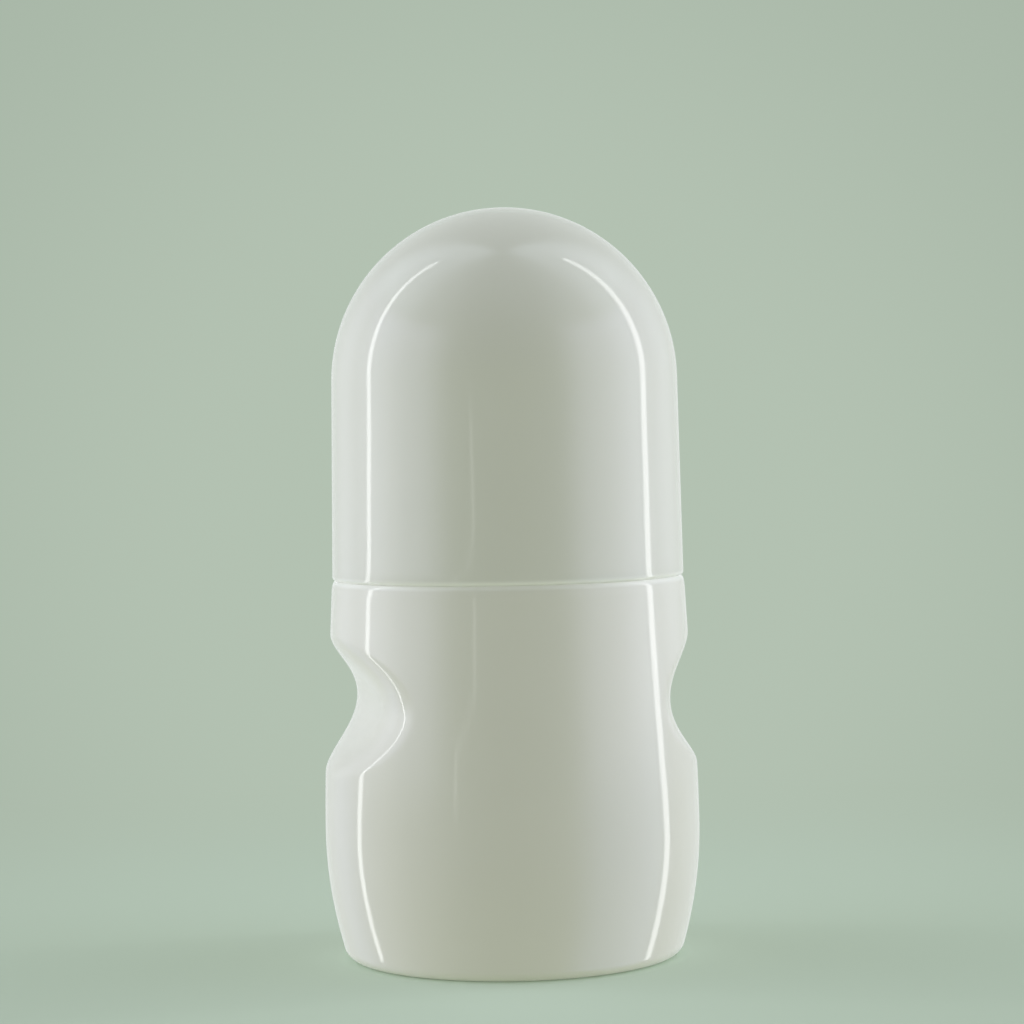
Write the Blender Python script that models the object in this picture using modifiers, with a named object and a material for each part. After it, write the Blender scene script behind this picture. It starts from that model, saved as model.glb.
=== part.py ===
"""Roll-on bottle: a hollow bottle with two finger grips, a ball in its housing and a domed screw cap.

Lengths are in metres. The bottle stands on z = 0, every turned piece has the z axis as its axis,
and the finger grips face +X and -X. The cap is modelled screwed down.
"""

import math

import bmesh
import bpy

# Clearances between the pieces
TOUCH_GAP = 0.0003
THREAD_PASS_GAP = 0.0003
THREAD_ROOT_GAP = 0.0004

# Ball
BALL_RADIUS = 0.0174

# Ball housing
HOUSING_WALL = 0.0009
RIM_RISE = 0.0045
COLLAR_DROP = 0.0012
COLLAR_TAPER = 0.0018
COLLAR_STEP = 0.0004
FLANGE_THICKNESS = 0.0014
PLUG_LENGTH = 0.0080
PLUG_WALL = 0.0009
PLUG_CHAMFER = 0.0004
SNAP_DROP = 0.0042
SNAP_HEIGHT = 0.00035
SNAP_WIDTH = 0.0016
SNAP_CREST_WIDTH = 0.0006
FEED_RADIUS = 0.0120
FEED_NOTCH_RADIUS = 0.0013
FEED_NOTCHES = 6

# Threads, two starts wide, that hold the cap on the neck
THREAD_STARTS = 2
THREAD_PITCH = 0.0045
THREAD_BEAD = 0.0009
THREAD_OVERLAP = 0.00055
THREAD_RUNOUT = 0.0008
THREAD_END_SHARE = 0.15
NECK_THREAD_FOOT = 0.0024
NECK_THREAD_HEAD = 0.0020
CAP_THREAD_FOOT = 0.0015

# Cap
CAP_WALL = 0.00125
CAP_DRAFT = 0.00035
CAP_SKIRT_HEIGHT = 0.02295
CAP_EDGE_ROUND = 0.0004

# Liner and the ring that holds it in the cap's crown
LINER_RADIUS = 0.0070
LINER_THICKNESS = 0.0014
LINER_RIM_THICKNESS = 0.0006
LINER_RIM_WIDTH = 0.0005
LINER_RING_WALL = 0.0010
LINER_BEAD_HEIGHT = 0.00045
LINER_BEAD_WIDTH = 0.0005

# Bottle
SHOULDER_HEIGHT = 0.04585
SHOULDER_RADIUS = 0.02115
SHOULDER_ROUND = 0.0012
SHOULDER_LEAN_SHARE = 0.042
BELLY_HEIGHT = 0.0154
BELLY_RADIUS = 0.02251
FOOT_RADIUS = 0.02046
FOOT_ROUND = 0.00178
FOOT_LEAN_SHARE = 0.283
FOOT_RING_WIDTH = 0.0030
PUSH_UP_HEIGHT = 0.0008
PUSH_UP_CREST = 0.0012
BOTTLE_WALL = 0.0013
FLOOR_WALL = 0.0014
NECK_HEIGHT = 0.0112
NECK_WALL = 0.0013
NECK_LIP_ROUND = 0.0003

# Finger grips, each the trough that a lying cylinder leaves in the bottle's side
GRIP_DROP = 0.0151
GRIP_CHORD_DISTANCE = 0.0163
GRIP_SECTION_RADIUS = 0.0078

# How far a cutter runs past what it cuts
CUT_OVERRUN = 0.002

# Facets of round shapes
OUTER_STEPS = 48
CAVITY_STEPS = 32
HOUSING_STEPS = 40
LINER_STEPS = 24
BALL_SEGMENTS = 32
BALL_RINGS = 16
DOME_ARC_STEPS = 10
LINER_ARC_STEPS = 3
SOCKET_ARC_STEPS = 9
ROUND_ARC_STEPS = 3
BODY_ROWS_ABOVE_BELLY = 8
BODY_ROWS_BELOW_BELLY = 5
GRIP_SEGMENTS = 40
THREAD_POINTS = 24
THREAD_BEVEL_STEPS = 2
NOTCH_SEGMENTS = 12

# Weld distance for meshes, and the angle over which an edge is drawn sharp
WELD_DISTANCE = 0.00001
SHARP_ANGLE = math.radians(28)

# Radii that follow from the ball outwards
SOCKET_RADIUS = BALL_RADIUS + TOUCH_GAP
HOUSING_RADIUS = SOCKET_RADIUS + HOUSING_WALL
NECK_RADIUS = HOUSING_RADIUS
NECK_BORE = NECK_RADIUS - NECK_WALL
PLUG_RADIUS = NECK_BORE - TOUCH_GAP
CAP_THREAD_CREST = HOUSING_RADIUS + THREAD_PASS_GAP
NECK_THREAD_CREST = CAP_THREAD_CREST + THREAD_OVERLAP
SKIRT_BORE = NECK_THREAD_CREST + THREAD_ROOT_GAP
CAP_EDGE_RADIUS = SKIRT_BORE + CAP_WALL
DOME_BORE = SKIRT_BORE - CAP_DRAFT
DOME_RADIUS = DOME_BORE + CAP_WALL

# Heights that follow from the shoulder upwards
NECK_TOP = SHOULDER_HEIGHT + NECK_HEIGHT
CAP_EDGE_HEIGHT = SHOULDER_HEIGHT + TOUCH_GAP
DOME_HEIGHT = CAP_EDGE_HEIGHT + CAP_SKIRT_HEIGHT
LINER_TOP_RADIUS = DOME_BORE - TOUCH_GAP
BALL_HEIGHT = DOME_HEIGHT + LINER_TOP_RADIUS - LINER_THICKNESS - SOCKET_RADIUS
FLANGE_HEIGHT = NECK_TOP + TOUCH_GAP
SNAP_Z = FLANGE_HEIGHT - SNAP_DROP
GRIP_HEIGHT = SHOULDER_HEIGHT - GRIP_DROP
FLOOR_HEIGHT = PUSH_UP_CREST + FLOOR_WALL

# Thread heights: the cap's ridges lie half a pitch below the neck's
THREAD_LEAD = THREAD_STARTS * THREAD_PITCH
NECK_THREAD_LOW = SHOULDER_HEIGHT + NECK_THREAD_FOOT
NECK_THREAD_HIGH = NECK_TOP - NECK_THREAD_HEAD
CAP_HELIX_LOW = NECK_THREAD_LOW - THREAD_PITCH / 2
CAP_THREAD_LOW = CAP_EDGE_HEIGHT + CAP_THREAD_FOOT
CAP_THREAD_HIGH = NECK_THREAD_HIGH - THREAD_PITCH / 2

FULL_TURN = 2 * math.pi


def clear_scene():
    for obj in list(bpy.data.objects):
        bpy.data.objects.remove(obj, do_unlink=True)


def new_collection(name):
    collection = bpy.data.collections.new(name)
    bpy.context.scene.collection.children.link(collection)
    return collection


def plastic(name, colour, roughness):
    """A moulded plastic: its colour and how rough it looks."""
    material = bpy.data.materials.new(name)
    material.use_nodes = True
    shader = material.node_tree.nodes["Principled BSDF"]
    shader.inputs["Base Color"].default_value = (*colour, 1)
    shader.inputs["Roughness"].default_value = roughness
    shader.inputs["Metallic"].default_value = 0
    return material


def leg(hypotenuse, other_leg):
    return math.sqrt(hypotenuse**2 - other_leg**2)


def arc(centre, radius, start, end, steps):
    """Points (radius, height) on an arc, with angles in radians from the outward direction upwards."""
    points = []
    for step in range(steps + 1):
        angle = start + (end - start) * step / steps
        points.append((centre[0] + radius * math.cos(angle), centre[1] + radius * math.sin(angle)))
    return points


def hermite(start, end, start_slope, end_slope, share):
    """A cubic from start to end over a unit run, with its slope given at both ends."""
    square, cube = share**2, share**3
    return (
        start * (2 * cube - 3 * square + 1)
        + end * (3 * square - 2 * cube)
        + start_slope * (cube - 2 * square + share)
        + end_slope * (cube - square)
    )


def foot_lean_angle():
    return math.atan(FOOT_LEAN_SHARE)


def foot_top():
    """Height where the foot's rounding meets the bottle's side."""
    return FOOT_ROUND * (1 - math.sin(foot_lean_angle()))


def side_radius(height):
    """Radius of the bottle's round side, which swells from the shoulder to the belly and draws in to the foot."""
    if height >= BELLY_HEIGHT:
        run = SHOULDER_HEIGHT - BELLY_HEIGHT
        share = (height - BELLY_HEIGHT) / run
        return hermite(BELLY_RADIUS, SHOULDER_RADIUS, 0, -SHOULDER_LEAN_SHARE * run, share)
    run = BELLY_HEIGHT - foot_top()
    share = (BELLY_HEIGHT - height) / run
    return hermite(BELLY_RADIUS, FOOT_RADIUS, 0, -FOOT_LEAN_SHARE * run, share)


def side_points(top, bottom, inset):
    """The side from top to bottom, moved in by inset."""
    points = []
    for row in range(BODY_ROWS_ABOVE_BELLY + 1):
        height = top + (BELLY_HEIGHT - top) * row / BODY_ROWS_ABOVE_BELLY
        points.append((side_radius(height) - inset, height))
    for row in range(1, BODY_ROWS_BELOW_BELLY + 1):
        height = BELLY_HEIGHT + (bottom - BELLY_HEIGHT) * row / BODY_ROWS_BELOW_BELLY
        points.append((side_radius(height) - inset, height))
    return points


def link(obj, collection):
    collection.objects.link(obj)
    return obj


def turned(name, outline, steps, collection):
    """A solid of revolution. The outline is a chain of (radius, height) that ends on the axis, or a ring."""
    mesh = bpy.data.meshes.new(name)
    edges = [(index, index + 1) for index in range(len(outline) - 1)]
    if outline[0][0] > 0:
        edges.append((len(outline) - 1, 0))
    mesh.from_pydata([(radius, 0, height) for radius, height in outline], edges, [])
    obj = link(bpy.data.objects.new(name, mesh), collection)
    screw = obj.modifiers.new("turn", "SCREW")
    screw.steps = steps
    screw.render_steps = steps
    screw.use_merge_vertices = True
    screw.merge_threshold = WELD_DISTANCE
    return obj


def cylinder(name, radius, length, centre, turn, segments, collection):
    """A cutter: a cylinder along Z, turned by an Euler rotation and placed by its centre."""
    shape = bmesh.new()
    bmesh.ops.create_cone(
        shape, cap_ends=True, segments=segments, radius1=radius, radius2=radius, depth=length
    )
    mesh = bpy.data.meshes.new(name)
    shape.to_mesh(mesh)
    shape.free()
    obj = link(bpy.data.objects.new(name, mesh), collection)
    obj.location = centre
    obj.rotation_euler = turn
    return obj


def thread_ridge(name, radius, helix_low, low, high, phase, collection):
    """One rounded thread ridge along a right-hand helix, which sinks into its wall at both ends."""
    curve = bpy.data.curves.new(name, "CURVE")
    curve.dimensions = "3D"
    curve.bevel_depth = THREAD_BEAD
    curve.bevel_resolution = THREAD_BEVEL_STEPS
    curve.use_fill_caps = True
    spline = curve.splines.new("POLY")
    spline.points.add(THREAD_POINTS)
    for index, point in enumerate(spline.points):
        height = low + (high - low) * index / THREAD_POINTS
        angle = phase + FULL_TURN * (height - helix_low) / THREAD_LEAD
        point.co = (radius * math.cos(angle), radius * math.sin(angle), height, 1)
        size_share = min(height - low, high - height) / THREAD_RUNOUT
        point.radius = min(1, max(THREAD_END_SHARE, size_share))
    obj = link(bpy.data.objects.new(name, curve), collection)
    return mesh_of_curve(obj, collection)


def mesh_of_curve(curve_object, collection):
    """The curve's tube as a closed mesh object of the same name."""
    name = curve_object.name
    graph = bpy.context.evaluated_depsgraph_get()
    mesh = bpy.data.meshes.new_from_object(curve_object.evaluated_get(graph))
    shape = bmesh.new()
    shape.from_mesh(mesh)
    bmesh.ops.remove_doubles(shape, verts=shape.verts, dist=WELD_DISTANCE)
    bmesh.ops.recalc_face_normals(shape, faces=shape.faces)
    shape.to_mesh(mesh)
    shape.free()
    place = curve_object.matrix_world.copy()
    bpy.data.objects.remove(curve_object, do_unlink=True)
    obj = link(bpy.data.objects.new(name, mesh), collection)
    obj.matrix_world = place
    return obj


def combine(target, tool, operation):
    """Joins the tool to the target, or cuts it away, and keeps the tool as a hidden guide."""
    boolean = target.modifiers.new(tool.name, "BOOLEAN")
    boolean.operation = operation
    boolean.solver = "EXACT"
    boolean.object = tool
    tool.hide_render = True
    tool.display_type = "WIRE"


def finish(obj, material):
    """Bakes the modifiers, shades round faces smooth and gives the piece its material."""
    graph = bpy.context.evaluated_depsgraph_get()
    mesh = bpy.data.meshes.new_from_object(obj.evaluated_get(graph))
    obj.modifiers.clear()
    obj.data = mesh
    mesh.name = obj.name
    mesh.shade_smooth()
    mesh.set_sharp_from_angle(angle=SHARP_ANGLE)
    mesh.materials.clear()
    mesh.materials.append(material)
    return obj


def bottle_outline():
    """The bottle's outside, from the middle of its mouth down to the middle of its base."""
    lip = (NECK_RADIUS - NECK_LIP_ROUND, NECK_TOP - NECK_LIP_ROUND)
    round_centre = (SHOULDER_RADIUS - SHOULDER_ROUND, SHOULDER_HEIGHT - SHOULDER_ROUND)
    lean = foot_lean_angle()
    foot_centre = (FOOT_RADIUS - FOOT_ROUND * math.cos(lean), FOOT_ROUND)
    ring_inside = foot_centre[0] - FOOT_RING_WIDTH
    quarter = FULL_TURN / 4
    outline = [(0, NECK_TOP)]
    outline += arc(lip, NECK_LIP_ROUND, quarter, 0, ROUND_ARC_STEPS - 1)
    outline.append((NECK_RADIUS, SHOULDER_HEIGHT))
    outline += arc(round_centre, SHOULDER_ROUND, quarter, 0, ROUND_ARC_STEPS)
    outline += side_points(round_centre[1], foot_top(), 0)[1:]
    outline += arc(foot_centre, FOOT_ROUND, -lean, -quarter, ROUND_ARC_STEPS)[1:]
    outline += [
        (ring_inside, 0),
        (ring_inside - PUSH_UP_HEIGHT, PUSH_UP_HEIGHT),
        (0, PUSH_UP_CREST),
    ]
    return outline


def cavity_outline():
    """The space inside the bottle, open at the mouth, with the groove that takes the housing's snap bead."""
    ceiling = SHOULDER_HEIGHT - BOTTLE_WALL
    groove_radius = PLUG_RADIUS + SNAP_HEIGHT + TOUCH_GAP
    groove_half = SNAP_WIDTH / 2 + TOUCH_GAP
    crest_half = SNAP_CREST_WIDTH / 2 + TOUCH_GAP
    round_radius = SHOULDER_ROUND
    round_centre = (SHOULDER_RADIUS - BOTTLE_WALL - round_radius, ceiling - round_radius)
    corner = FLOOR_HEIGHT + FOOT_ROUND
    side = side_points(round_centre[1], corner, BOTTLE_WALL)
    floor_edge = side[-1][0] - FOOT_ROUND
    outline = [
        (0, NECK_TOP + CUT_OVERRUN),
        (NECK_BORE, NECK_TOP + CUT_OVERRUN),
        (NECK_BORE, SNAP_Z + groove_half),
        (groove_radius, SNAP_Z + crest_half),
        (groove_radius, SNAP_Z - crest_half),
        (NECK_BORE, SNAP_Z - groove_half),
        (NECK_BORE, ceiling),
    ]
    outline += arc(round_centre, round_radius, FULL_TURN / 4, 0, ROUND_ARC_STEPS)
    outline += side[1:]
    outline += arc((floor_edge, corner), FOOT_ROUND, 0, -FULL_TURN / 4, ROUND_ARC_STEPS)[1:]
    outline.append((0, FLOOR_HEIGHT))
    return outline


def grip_cutters(name, radius, collection):
    """Two lying cylinders, one for each finger grip, with the grips' own axis and a radius of choice."""
    distance = GRIP_CHORD_DISTANCE + GRIP_SECTION_RADIUS
    length = 2 * (BELLY_RADIUS + CUT_OVERRUN)
    lying = (FULL_TURN / 4, 0, 0)
    pair = []
    for side, sign in (("right", 1), ("left", -1)):
        place = (sign * distance, 0, GRIP_HEIGHT)
        pair.append(
            cylinder(f"{name}_{side}", radius, length, place, lying, GRIP_SEGMENTS, collection)
        )
    return pair


def make_bottle(parts, cutters, material):
    bottle = turned("bottle", bottle_outline(), OUTER_STEPS, parts)
    cavity = turned("bottle_cavity", cavity_outline(), CAVITY_STEPS, cutters)
    for cutter in grip_cutters("grip", GRIP_SECTION_RADIUS, cutters):
        combine(bottle, cutter, "DIFFERENCE")
    for cutter in grip_cutters("grip_wall", GRIP_SECTION_RADIUS + BOTTLE_WALL, cutters):
        combine(cavity, cutter, "DIFFERENCE")
    for start in range(THREAD_STARTS):
        ridge = thread_ridge(
            f"neck_thread_{start + 1}",
            NECK_THREAD_CREST - THREAD_BEAD,
            NECK_THREAD_LOW,
            NECK_THREAD_LOW,
            NECK_THREAD_HIGH,
            FULL_TURN * start / THREAD_STARTS,
            cutters,
        )
        combine(bottle, ridge, "UNION")
    combine(bottle, cavity, "DIFFERENCE")
    return finish(bottle, material)


def housing_outline():
    """The ring that holds the ball: rim, collar, flange on the neck's lip, plug in its bore and socket."""
    centre = (0, BALL_HEIGHT)
    rim_outside = math.asin(RIM_RISE / HOUSING_RADIUS)
    rim_inside = math.asin(RIM_RISE / SOCKET_RADIUS)
    feed_angle = -math.acos(FEED_RADIUS / SOCKET_RADIUS)
    plug_bore = PLUG_RADIUS - PLUG_WALL
    plug_end = FLANGE_HEIGHT - PLUG_LENGTH
    bowl_angle = -math.acos(plug_bore / HOUSING_RADIUS)
    collar_radius = HOUSING_RADIUS - COLLAR_STEP
    collar_top = BALL_HEIGHT - COLLAR_DROP
    outline = arc(centre, HOUSING_RADIUS, rim_outside, 0, ROUND_ARC_STEPS)
    outline += [
        (HOUSING_RADIUS, collar_top),
        (collar_radius, collar_top - COLLAR_TAPER),
        (collar_radius, FLANGE_HEIGHT + FLANGE_THICKNESS),
        (HOUSING_RADIUS, FLANGE_HEIGHT + FLANGE_THICKNESS),
        (HOUSING_RADIUS, FLANGE_HEIGHT),
        (PLUG_RADIUS, FLANGE_HEIGHT),
        (PLUG_RADIUS, SNAP_Z + SNAP_WIDTH / 2),
        (PLUG_RADIUS + SNAP_HEIGHT, SNAP_Z + SNAP_CREST_WIDTH / 2),
        (PLUG_RADIUS + SNAP_HEIGHT, SNAP_Z - SNAP_CREST_WIDTH / 2),
        (PLUG_RADIUS, SNAP_Z - SNAP_WIDTH / 2),
        (PLUG_RADIUS, plug_end + PLUG_CHAMFER),
        (PLUG_RADIUS - PLUG_CHAMFER, plug_end),
        (plug_bore, plug_end),
    ]
    outline += arc(centre, HOUSING_RADIUS, bowl_angle, feed_angle, ROUND_ARC_STEPS)
    outline += arc(centre, SOCKET_RADIUS, feed_angle, rim_inside, SOCKET_ARC_STEPS)
    return outline


def make_housing(parts, cutters, material):
    housing = turned("ball_housing", housing_outline(), HOUSING_STEPS, parts)
    feed_height = BALL_HEIGHT - leg(SOCKET_RADIUS, FEED_RADIUS)
    length = 2 * (HOUSING_WALL + CUT_OVERRUN)
    for notch in range(FEED_NOTCHES):
        angle = FULL_TURN * notch / FEED_NOTCHES
        place = (FEED_RADIUS * math.cos(angle), FEED_RADIUS * math.sin(angle), feed_height)
        turn = (0, 0, angle)
        name = f"feed_notch_{notch + 1}"
        cutter = cylinder(name, FEED_NOTCH_RADIUS, length, place, turn, NOTCH_SEGMENTS, cutters)
        combine(housing, cutter, "DIFFERENCE")
    return finish(housing, material)


def make_ball(parts, material):
    """The ball, with its origin at its centre, round which it rolls."""
    shape = bmesh.new()
    bmesh.ops.create_uvsphere(
        shape, u_segments=BALL_SEGMENTS, v_segments=BALL_RINGS, radius=BALL_RADIUS
    )
    mesh = bpy.data.meshes.new("roller_ball")
    shape.to_mesh(mesh)
    shape.free()
    ball = link(bpy.data.objects.new("roller_ball", mesh), parts)
    ball.location = (0, 0, BALL_HEIGHT)
    return finish(ball, material)


def liner_rim_height():
    """Underside of the liner's thin rim."""
    return DOME_HEIGHT + leg(LINER_TOP_RADIUS, LINER_RADIUS) - LINER_RIM_THICKNESS


def liner_outline():
    """The liner: its top follows the dome, its underside the ball, and a thin rim runs round it."""
    quarter = FULL_TURN / 4
    pad_radius = LINER_RADIUS - LINER_RIM_WIDTH
    top_angle = math.acos(LINER_RADIUS / LINER_TOP_RADIUS)
    pad_angle = math.acos(pad_radius / SOCKET_RADIUS)
    outline = arc((0, DOME_HEIGHT), LINER_TOP_RADIUS, quarter, top_angle, LINER_ARC_STEPS)
    outline += [(LINER_RADIUS, liner_rim_height()), (pad_radius, liner_rim_height())]
    outline += arc((0, BALL_HEIGHT), SOCKET_RADIUS, pad_angle, quarter, LINER_ARC_STEPS)
    outline[0] = (0, outline[0][1])
    outline[-1] = (0, outline[-1][1])
    return outline


def make_liner(parts, material):
    return finish(turned("cap_liner", liner_outline(), LINER_STEPS, parts), material)


def cap_outline():
    """The cap's shell, from its top down the outside and up the inside, with the ring that holds the liner."""
    quarter = FULL_TURN / 4
    edge_centre = (CAP_EDGE_RADIUS - CAP_EDGE_ROUND, CAP_EDGE_HEIGHT + CAP_EDGE_ROUND)
    ring_bore = LINER_RADIUS + TOUCH_GAP
    ring_radius = ring_bore + LINER_RING_WALL
    bead_top = liner_rim_height() - TOUCH_GAP
    bead_bottom = bead_top - LINER_BEAD_HEIGHT
    ring_angle = math.acos(ring_radius / DOME_BORE)
    crown_angle = math.acos(ring_bore / DOME_BORE)
    outline = arc((0, DOME_HEIGHT), DOME_RADIUS, quarter, 0, DOME_ARC_STEPS)
    outline += arc(edge_centre, CAP_EDGE_ROUND, 0, -quarter, ROUND_ARC_STEPS - 1)
    outline.append((SKIRT_BORE, CAP_EDGE_HEIGHT))
    outline += arc((0, DOME_HEIGHT), DOME_BORE, 0, ring_angle, DOME_ARC_STEPS - 2)
    outline += [
        (ring_radius, bead_bottom),
        (ring_bore - LINER_BEAD_WIDTH, bead_bottom),
        (ring_bore - LINER_BEAD_WIDTH, bead_top),
        (ring_bore, bead_top),
    ]
    outline += arc((0, DOME_HEIGHT), DOME_BORE, crown_angle, quarter, LINER_ARC_STEPS)
    outline[0] = (0, outline[0][1])
    outline[-1] = (0, outline[-1][1])
    return outline


def make_cap(parts, cutters, material):
    cap = turned("cap", cap_outline(), OUTER_STEPS, parts)
    for start in range(THREAD_STARTS):
        ridge = thread_ridge(
            f"cap_thread_{start + 1}",
            CAP_THREAD_CREST + THREAD_BEAD,
            CAP_HELIX_LOW,
            CAP_THREAD_LOW,
            CAP_THREAD_HIGH,
            FULL_TURN * start / THREAD_STARTS,
            cutters,
        )
        combine(cap, ridge, "UNION")
    return finish(cap, material)


def main():
    clear_scene()
    parts = new_collection("roll_on_bottle")
    cutters = new_collection("cutters")
    make_bottle(parts, cutters, plastic("bottle_plastic", (0.84, 0.85, 0.82), 0.12))
    make_housing(parts, cutters, plastic("housing_plastic", (0.80, 0.81, 0.79), 0.30))
    make_ball(parts, plastic("ball_plastic", (0.86, 0.86, 0.84), 0.15))
    make_liner(parts, plastic("liner_plastic", (0.76, 0.78, 0.78), 0.50))
    make_cap(parts, cutters, plastic("cap_plastic", (0.86, 0.87, 0.84), 0.10))


main()
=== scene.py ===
"""Looks of the roll-on bottle: fine meshes, moulded-plastic materials, studio light and the camera.

Lengths are in metres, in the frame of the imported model: +Z up, base on z = 0, and finger grips facing
+X and -X.
"""
import math

import bpy
import numpy as np
from mathutils import Matrix, Vector


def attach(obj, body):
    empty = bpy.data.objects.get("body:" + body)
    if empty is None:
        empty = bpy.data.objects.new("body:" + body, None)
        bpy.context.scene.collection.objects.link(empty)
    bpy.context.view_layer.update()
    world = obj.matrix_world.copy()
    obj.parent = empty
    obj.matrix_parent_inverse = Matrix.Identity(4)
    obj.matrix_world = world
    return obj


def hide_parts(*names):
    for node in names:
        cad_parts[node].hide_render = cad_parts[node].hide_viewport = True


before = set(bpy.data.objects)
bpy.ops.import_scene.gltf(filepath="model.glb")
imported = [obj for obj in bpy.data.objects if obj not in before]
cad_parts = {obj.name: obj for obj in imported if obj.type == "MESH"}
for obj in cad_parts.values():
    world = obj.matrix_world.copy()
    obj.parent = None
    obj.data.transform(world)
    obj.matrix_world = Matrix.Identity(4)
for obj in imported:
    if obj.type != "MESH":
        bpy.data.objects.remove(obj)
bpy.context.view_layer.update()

FULL_TURN = 2 * math.pi
QUARTER = math.pi / 2
MM = 0.001

# Sizes of the solids, as in the CAD source
TOUCH_GAP = 0.0003
BALL_RADIUS = 0.0174
HOUSING_WALL = 0.0009
RIM_RISE = 0.0045
COLLAR_DROP = 0.0012
COLLAR_TAPER = 0.0018
COLLAR_STEP = 0.0004
FLANGE_THICKNESS = 0.0014
PLUG_LENGTH = 0.0080
PLUG_WALL = 0.0009
PLUG_CHAMFER = 0.0004
SNAP_DROP = 0.0042
SNAP_HEIGHT = 0.00035
SNAP_WIDTH = 0.0016
SNAP_CREST_WIDTH = 0.0006
FEED_RADIUS = 0.0120
FEED_NOTCH_RADIUS = 0.0013
FEED_NOTCHES = 6
THREAD_STARTS = 2
THREAD_PITCH = 0.0045
THREAD_OVERLAP = 0.00055
THREAD_ROOT_GAP = 0.0004
THREAD_RUNOUT = 0.0012
NECK_THREAD_FOOT = 0.0024
NECK_THREAD_HEAD = 0.0020
CAP_THREAD_FOOT = 0.0015
CAP_WALL = 0.00125
CAP_DRAFT = 0.00035
CAP_SKIRT_HEIGHT = 0.02295
LINER_RADIUS = 0.0070
LINER_THICKNESS = 0.0014
LINER_RIM_THICKNESS = 0.0006
LINER_RIM_WIDTH = 0.0005
LINER_RING_WALL = 0.0010
LINER_BEAD_HEIGHT = 0.00045
LINER_BEAD_WIDTH = 0.0005
SHOULDER_HEIGHT = 0.04585
SHOULDER_RADIUS = 0.02115
SHOULDER_ROUND = 0.0012
SHOULDER_LEAN_SHARE = 0.042
BELLY_HEIGHT = 0.0154
BELLY_RADIUS = 0.02251
FOOT_RADIUS = 0.02046
FOOT_ROUND = 0.00178
FOOT_LEAN_SHARE = 0.283
FOOT_RING_WIDTH = 0.0030
PUSH_UP_HEIGHT = 0.0008
PUSH_UP_CREST = 0.0012
BOTTLE_WALL = 0.0013
FLOOR_WALL = 0.0014
NECK_HEIGHT = 0.0112
NECK_WALL = 0.0013
NECK_LIP_ROUND = 0.0003

SOCKET_RADIUS = BALL_RADIUS + TOUCH_GAP
HOUSING_RADIUS = SOCKET_RADIUS + HOUSING_WALL
NECK_RADIUS = HOUSING_RADIUS
NECK_BORE = NECK_RADIUS - NECK_WALL
PLUG_RADIUS = NECK_BORE - TOUCH_GAP
CAP_THREAD_CREST = HOUSING_RADIUS + TOUCH_GAP
NECK_THREAD_CREST = CAP_THREAD_CREST + THREAD_OVERLAP
SKIRT_BORE = NECK_THREAD_CREST + THREAD_ROOT_GAP
CAP_EDGE_RADIUS = SKIRT_BORE + CAP_WALL
DOME_BORE = SKIRT_BORE - CAP_DRAFT
DOME_RADIUS = DOME_BORE + CAP_WALL
NECK_TOP = SHOULDER_HEIGHT + NECK_HEIGHT
CAP_EDGE_HEIGHT = SHOULDER_HEIGHT + TOUCH_GAP
DOME_HEIGHT = CAP_EDGE_HEIGHT + CAP_SKIRT_HEIGHT
LINER_TOP_RADIUS = DOME_BORE - TOUCH_GAP
BALL_HEIGHT = DOME_HEIGHT + LINER_TOP_RADIUS - LINER_THICKNESS - SOCKET_RADIUS
FLANGE_HEIGHT = NECK_TOP + TOUCH_GAP
SNAP_Z = FLANGE_HEIGHT - SNAP_DROP
FLOOR_HEIGHT = PUSH_UP_CREST + FLOOR_WALL
THREAD_LEAD = THREAD_STARTS * THREAD_PITCH
NECK_THREAD_LOW = SHOULDER_HEIGHT + NECK_THREAD_FOOT
NECK_THREAD_HIGH = NECK_TOP - NECK_THREAD_HEAD
CAP_HELIX_LOW = NECK_THREAD_LOW - THREAD_PITCH / 2
CAP_THREAD_LOW = CAP_EDGE_HEIGHT + CAP_THREAD_FOOT
CAP_THREAD_HIGH = NECK_THREAD_HIGH - THREAD_PITCH / 2

# Finer sizes that only this model shows
GRIP_HEIGHT = 0.03107
GRIP_HALF_HEIGHT = 0.0090
GRIP_FLOOR_DISTANCE = 0.01705
GRIP_BOW = 118.0
GRIP_EDGE_BLEND = 0.0037
THREAD_HALF_WIDTH = 0.0010
THREAD_CREST_SHARE = 1.2
INNER_EDGE_ROUND = 0.0002
NECK_FOOT_ROUND = 0.0004
SMALL_ROUND = 0.00015
CAP_LIP_GAP = 0.00002
CAP_LIP_INSET = 0.00030
CAP_LIP_CURVE = 0.0005
CAP_LIP_WIDTH = 0.0002
GATE_RADIUS = 0.0016
GATE_DEPTH = 0.00015
BALL_GATE_RADIUS = 0.0009
BALL_GATE_DEPTH = 0.00004
BALL_GATE_FLOOR_SHARE = 0.8

# Smallest numbers that the shapes divide by
LEAST_COSINE = 1e-6
LEAST_RISE = 0.01

# Points round and along each piece
BOTTLE_SEGMENTS = 400
CAP_SEGMENTS = 288
HOUSING_SEGMENTS = 216
BALL_SEGMENTS = 160
LINER_SEGMENTS = 128
THREAD_ROW = 0.00015
SIDE_ROW = 0.0003
INSIDE_ROW = 0.0010
SHARP_ANGLE = math.radians(32)


def arc(centre, radius, start, end, steps):
    """Points (radius, height) on an arc; its angles are in radians from outward to upward."""
    return [
        (centre[0] + radius * math.cos(angle), centre[1] + radius * math.sin(angle))
        for angle in np.linspace(start, end, steps + 1)
    ]


def line(start, end, spacing):
    """Points from start to end, evenly spaced, with both ends."""
    steps = max(1, round(math.dist(start, end) / spacing))
    return [
        (start[0] + (end[0] - start[0]) * t, start[1] + (end[1] - start[1]) * t)
        for t in np.linspace(0, 1, steps + 1)
    ]


def leg(hypotenuse, other_leg):
    return math.sqrt(hypotenuse**2 - other_leg**2)


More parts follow.
